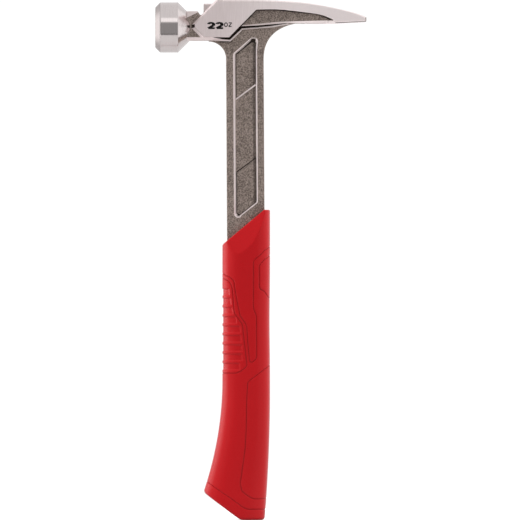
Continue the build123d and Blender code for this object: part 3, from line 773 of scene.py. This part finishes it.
def make_mark(name, shapes, low_z):
    """One mesh of every stroke of some characters: (centre lines, pen, left end) of each."""
    points, faces, count = [], [], 0
    for lines, pen, left in shapes:
        for number, line in enumerate(lines):
            stroke, quads = pen_stroke(line, np.array(pen), STROKE_LIFT * number)
            points.append(stroke + np.array([left, 0.0, low_z]))
            faces.append(quads + count)
            count += len(stroke)
    mesh = bpy.data.meshes.new(name)
    mesh.from_pydata((np.concatenate(points) * MM).tolist(), [], np.concatenate(faces).tolist())
    shell = bmesh.new()
    shell.from_mesh(mesh)
    bmesh.ops.recalc_face_normals(shell, faces=shell.faces)
    shell.to_mesh(mesh)
    shell.free()
    mark = bpy.data.objects.new(name, mesh)
    bpy.context.scene.collection.objects.link(mark)
    return mark


enamel = black_enamel()
figures = [(figure_two(FIGURE, FIGURE_PEN), FIGURE_PEN, left) for left in FIGURE_LEFTS]
letters = [(shape(LETTER, LETTER_PEN), LETTER_PEN, left)
           for shape, left in zip((letter_o, letter_z), LETTER_LEFTS)]
for name, shapes, low_z in (("weight_number", figures, MARK_LOW_Z),
                            ("weight_unit", letters, LETTER_LOW_Z)):
    mark = make_mark(name, shapes, low_z)
    mark.data.materials.append(enamel)
    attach(mark, "root")

# --- Floor, lights and camera ----------------------------------------------------------------
# Plain pale floor under the butt, a white room with a darker front, and a long lens.
# Lengths here are in metres, apart from the lens.
FLOOR_Z = cad_box[0][2]
FLOOR_HALF_SIZE = 0.5
FLOOR_GREY = (0.56, 0.56, 0.56, 1)
FLOOR_GLOW = 0.45               # only to the camera
WHITE = (1, 1, 1, 1)
ROOM_SEEN = 1.05                # brightness of the room to the camera
ROOM_LIGHT = 0.92               # and to everything else, before its bands
KEY_PLACE = (-1.3, -0.6, 1.0)
KEY_AIM = (0.07, 0, -0.15)
KEY_SIZE = 0.8
KEY_WATTS = 22
FILL_PLACE = (1.1, -0.12, 0.5)
FILL_AIM = (0.07, 0, -0.2)
FILL_SIZE = 0.6
FILL_WATTS = 9
CAMERA_PLACE = (0.0767, -8.2548, -0.1704)
LENS_MM = 780.0


def make_floor():
    """Square of pale floor at the height of the butt."""
    size = FLOOR_HALF_SIZE
    corners = [(-size, -size), (size, -size), (size, size), (-size, size)]
    mesh = bpy.data.meshes.new("floor")
    mesh.from_pydata([(x, y, FLOOR_Z) for x, y in corners], [], [(0, 1, 2, 3)])
    floor = bpy.data.objects.new("floor", mesh)
    bpy.context.scene.collection.objects.link(floor)
    material, tree, shader = new_material("pale_floor")
    shader.inputs["Base Color"].default_value = FLOOR_GREY
    shader.inputs["Roughness"].default_value = 0.9
    shader.inputs["Emission Color"].default_value = WHITE
    seen = put(tree, "ShaderNodeLightPath").outputs["Is Camera Ray"]
    tree.links.new(calc(tree, "MULTIPLY", seen, FLOOR_GLOW), shader.inputs["Emission Strength"])
    mesh.materials.append(material)
    return floor


make_floor()


def studio_world():
    """White room seen by the camera; reflections find it darker in front, with pale bands."""
    world = bpy.data.worlds.new("studio")
    bpy.context.scene.world = world
    world.use_nodes = True
    tree = world.node_tree
    back = tree.nodes["Background"]
    out = tree.nodes["World Output"]
    way = put(tree, "ShaderNodeTexCoord").outputs["Generated"]
    axes = put(tree, "ShaderNodeSeparateXYZ", {0: way}).outputs
    x, y, z = axes["X"], axes["Y"], axes["Z"]
    dark = within(tree, (y, -0.74, -0.84), (z, 0.40, 0.34))
    front_left = within(tree, (x, -0.12, -0.2), (x, -0.62, -0.52), (y, -0.5, -0.6),
                        (z, 0.34, 0.4), (z, 0.72, 0.66))
    strip = within(tree, (z, 0.40, 0.44), (z, 0.70, 0.66), (y, 0.1, -0.1), (x, -0.2, -0.12),
                   (x, 0.2, 0.12))
    left = within(tree, (x, -0.78, -0.84), (y, -0.24, -0.12), (y, 0.6, 0.5), (z, -0.6, -0.5))
    right = within(tree, (x, 0.60, 0.75), (y, -0.40, -0.20), (z, -0.5, -0.4))
    low = ramp(tree, z, -0.45, -0.60)
    light = ROOM_LIGHT
    for band, change in ((dark, -0.56), (front_left, -0.35), (strip, 0.5), (left, 1.9),
                         (right, 0.3), (low, -0.25)):
        light = times_plus(tree, band, change, light)
    back.inputs["Color"].default_value = WHITE
    tree.links.new(light, back.inputs["Strength"])
    seen = put(tree, "ShaderNodeBackground", {"Color": WHITE, "Strength": ROOM_SEEN})
    ray = put(tree, "ShaderNodeLightPath").outputs["Is Camera Ray"]
    pick = put(tree, "ShaderNodeMixShader", {0: ray, 1: back.outputs[0], 2: seen.outputs[0]})
    tree.links.new(pick.outputs[0], out.inputs["Surface"])


def area_light(name, at, toward, size, power):
    """Square area light at a place, turned towards a point and unseen in reflections."""
    data = bpy.data.lights.new(name, "AREA")
    data.shape = "RECTANGLE"
    data.size = size
    data.size_y = size
    data.energy = power
    light = bpy.data.objects.new(name, data)
    bpy.context.scene.collection.objects.link(light)
    aim = np.array(toward) - np.array(at)
    light.location = at
    light.rotation_euler = Vector(aim).to_track_quat("-Z", "Y").to_euler()
    light.visible_glossy = False


studio_world()
area_light("top_left", KEY_PLACE, KEY_AIM, KEY_SIZE, KEY_WATTS)
area_light("right_fill", FILL_PLACE, FILL_AIM, FILL_SIZE, FILL_WATTS)

camera_data = bpy.data.cameras.new("camera")
camera_data.lens = LENS_MM
camera_data.sensor_width = 36.0
camera_data.clip_end = 50.0
camera = bpy.data.objects.new("camera", camera_data)
bpy.context.scene.collection.objects.link(camera)
camera.location = CAMERA_PLACE
camera.rotation_euler = (np.pi / 2, 0.0, 0.0)
bpy.context.scene.camera = camera
bpy.context.scene.view_settings.view_transform = "Standard"
